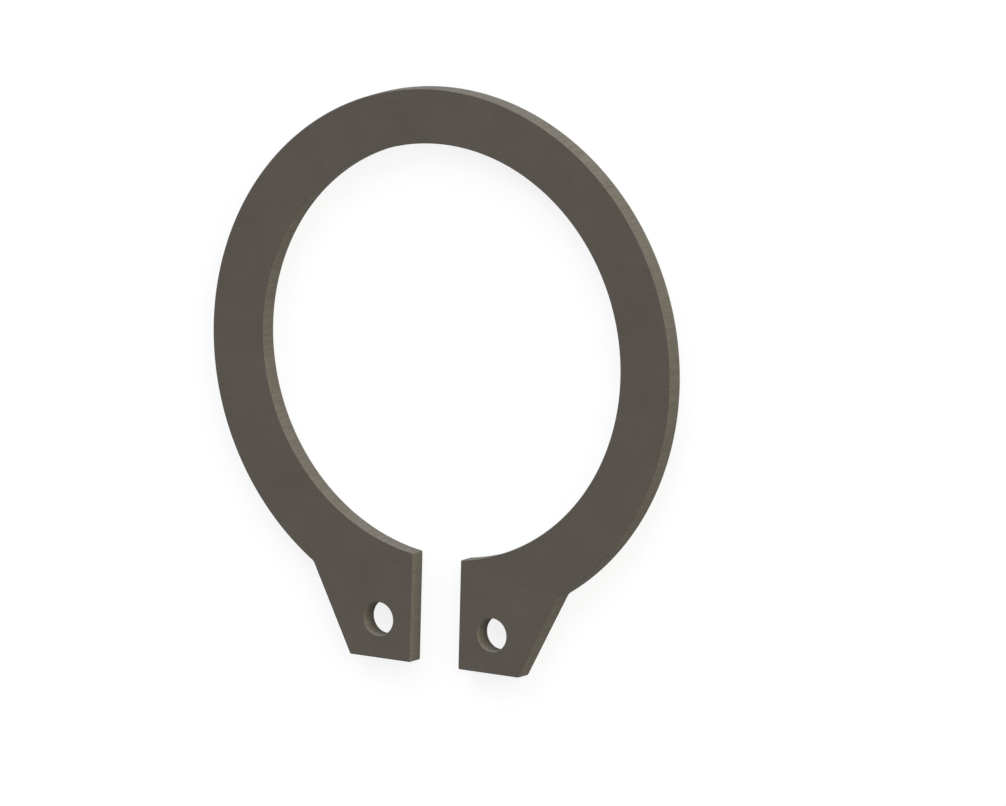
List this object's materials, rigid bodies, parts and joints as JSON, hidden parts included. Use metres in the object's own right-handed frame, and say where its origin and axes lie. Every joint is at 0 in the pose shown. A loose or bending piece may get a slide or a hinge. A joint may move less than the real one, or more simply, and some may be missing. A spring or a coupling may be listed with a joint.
{
  "type": "external snap ring",
  "caption": "Flat open retaining ring of spring steel with plier lugs at its gap, sprung into a shaft groove to stop parts sliding along the shaft.",
  "frame": {"origin": "on the bore's axis, in the plane of the lower face", "axes": "+Z along the bore's axis out of the sharp-edged upper face, -Y through the middle of the gap between the lugs"},
  "size_m": [0.0302, 0.0327, 0.0011],
  "materials": {
    "spring_steel": "phosphated and oiled, dark grey-brown, matt"
  },
  "bodies": {
    "root": {"snap_ring": "spring_steel"}
  },
  "joints": []
}
